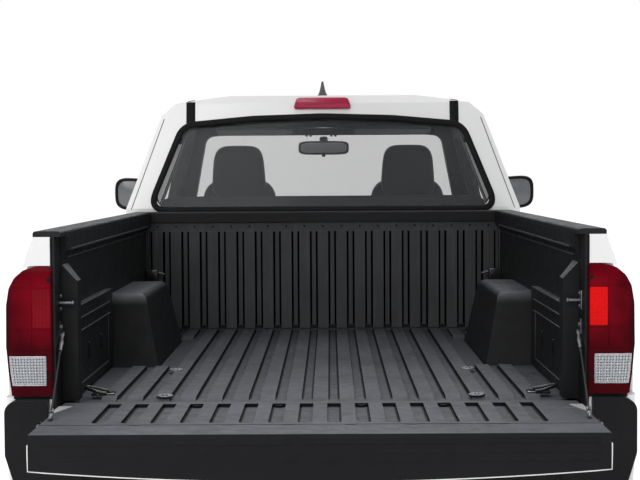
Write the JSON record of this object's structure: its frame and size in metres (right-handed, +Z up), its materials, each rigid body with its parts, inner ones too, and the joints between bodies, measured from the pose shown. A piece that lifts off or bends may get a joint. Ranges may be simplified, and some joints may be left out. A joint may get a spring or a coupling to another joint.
{
  "type": "pickup truck",
  "caption": "Pickup truck with an extended cab, rear-hinged access doors and a ribbed composite load bed, tailgate open.",
  "frame": {"origin": "on the ground, at the middle of the length from the open tailgate's edge to the front bumper, on the truck's centre line", "axes": "+Y forward, +X to the truck's right, +Z up"},
  "size_m": [2.204, 5.781, 1.8469],
  "materials": {
    "body_paint": "white gloss paint",
    "bed_composite": "fine grained dark grey moulding",
    "black_trim": "grained black moulding",
    "clear_glass": "clear",
    "tinted_glass": "grey tinted",
    "lamp_red": "red lens",
    "lamp_clear": "clear lens",
    "tyre": "matt",
    "rim": "satin silver",
    "chassis_steel": "black chassis paint",
    "cast_metal": "as cast",
    "exhaust_steel": "dull",
    "cable_steel": "black coated wire",
    "seat_fabric": "dark grey woven",
    "cabin_plastic": "grained dark grey"
  },
  "bodies": {
    "chassis": {"cab_shell": "body_paint", "front_fenders": "body_paint", "bed_sides": "body_paint", "windshield": "clear_glass", "rear_window": "tinted_glass", "grille": "black_trim", "front_bumper": "black_trim", "rear_bumper": "black_trim", "bed_rail_caps": "black_trim", "roof_antenna": "black_trim", "wheel_liners": "black_trim", "bed_floor": "bed_composite", "bed_front_wall": "bed_composite", "bed_side_liners": "bed_composite", "headlamps": "lamp_clear", "tail_lamps": "lamp_red", "high_brake_lamp": "lamp_red", "tailgate_stays": "cable_steel", "cab_floor": "cabin_plastic", "dashboard": "cabin_plastic", "cabin_mirror": "cabin_plastic", "front_seats": "seat_fabric", "rear_bench": "seat_fabric", "frame": "chassis_steel", "front_suspension": "chassis_steel", "rear_axle": "cast_metal", "engine_block": "cast_metal", "drive_line": "cast_metal", "exhaust": "exhaust_steel", "fuel_tank": "black_trim", "spare_wheel": "tyre"},
    "tailgate": {"tailgate_shell": "body_paint", "tailgate_liner": "bed_composite"},
    "hood": {"hood": "body_paint"},
    "steering_wheel": {"steering_wheel": "cabin_plastic"},
    "front_door_right": {"front_door_right": "body_paint", "front_door_glass_right": "clear_glass", "door_mirror_right": "black_trim"},
    "access_door_right": {"access_door_right": "body_paint", "access_door_glass_right": "tinted_glass"},
    "knuckle_right": {"knuckle_right": "cast_metal"},
    "wheel_front_right": {"tyre_front_right": "tyre", "rim_front_right": "rim"},
    "wheel_rear_right": {"tyre_rear_right": "tyre", "rim_rear_right": "rim"},
    "front_door_left": {"front_door_left": "body_paint", "front_door_glass_left": "clear_glass", "door_mirror_left": "black_trim"},
    "access_door_left": {"access_door_left": "body_paint", "access_door_glass_left": "tinted_glass"},
    "knuckle_left": {"knuckle_left": "cast_metal"},
    "wheel_front_left": {"tyre_front_left": "tyre", "rim_front_left": "rim"},
    "wheel_rear_left": {"tyre_rear_left": "tyre", "rim_rear_left": "rim"}
  },
  "joints": [
    {"name": "front_door_right_swing", "type": "hinge", "parent": "chassis", "child": "front_door_right", "pos_m": [0.888, 1.3605, 0.9], "axis": [0, 0, 1], "range_deg": [0, 65]},
    {"name": "access_door_right_swing", "type": "hinge", "parent": "chassis", "child": "access_door_right", "pos_m": [0.888, -0.2695, 0.9], "axis": [0, 0, -1], "range_deg": [0, 80]},
    {"name": "steer_right", "type": "hinge", "parent": "chassis", "child": "knuckle_right", "pos_m": [0.706, 1.9605, 0.387], "axis": [0, 0, 1], "range_deg": [-33, 33]},
    {"name": "wheel_front_right_spin", "type": "hinge", "parent": "knuckle_right", "child": "wheel_front_right", "pos_m": [0.802, 1.9605, 0.387], "axis": [1, 0, 0], "continuous": true},
    {"name": "wheel_rear_right_spin", "type": "hinge", "parent": "chassis", "child": "wheel_rear_right", "pos_m": [0.802, -1.2745, 0.387], "axis": [1, 0, 0], "continuous": true},
    {"name": "front_door_left_swing", "type": "hinge", "parent": "chassis", "child": "front_door_left", "pos_m": [-0.888, 1.3605, 0.9], "axis": [0, 0, -1], "range_deg": [0, 65]},
    {"name": "access_door_left_swing", "type": "hinge", "parent": "chassis", "child": "access_door_left", "pos_m": [-0.888, -0.2695, 0.9], "axis": [0, 0, 1], "range_deg": [0, 80]},
    {"name": "steer_left", "type": "hinge", "parent": "chassis", "child": "knuckle_left", "pos_m": [-0.706, 1.9605, 0.387], "axis": [0, 0, 1], "range_deg": [-33, 33]},
    {"name": "wheel_front_left_spin", "type": "hinge", "parent": "knuckle_left", "child": "wheel_front_left", "pos_m": [-0.802, 1.9605, 0.387], "axis": [1, 0, 0], "continuous": true},
    {"name": "wheel_rear_left_spin", "type": "hinge", "parent": "chassis", "child": "wheel_rear_left", "pos_m": [-0.802, -1.2745, 0.387], "axis": [1, 0, 0], "continuous": true},
    {"name": "hood_lift", "type": "hinge", "parent": "chassis", "child": "hood", "pos_m": [0, 1.4875, 1.1525], "axis": [1, 0, 0], "range_deg": [0, 50]},
    {"name": "tailgate_close", "type": "hinge", "parent": "chassis", "child": "tailgate", "pos_m": [0, -2.4025, 0.758], "axis": [-1, 0, 0], "range_deg": [0, 90], "deforming": ["tailgate_stays"]},
    {"name": "steering_turn", "type": "hinge", "parent": "chassis", "child": "steering_wheel", "pos_m": [-0.395, 0.9755, 1.075], "axis": [0, -0.9063, 0.4226], "range_deg": [-528, 528]}
  ],
  "couplings": [
    {"joint": "steer_left", "follows": "steer_right", "ratio": 1},
    {"joint": "steering_turn", "follows": "steer_right", "ratio": 16}
  ]
}
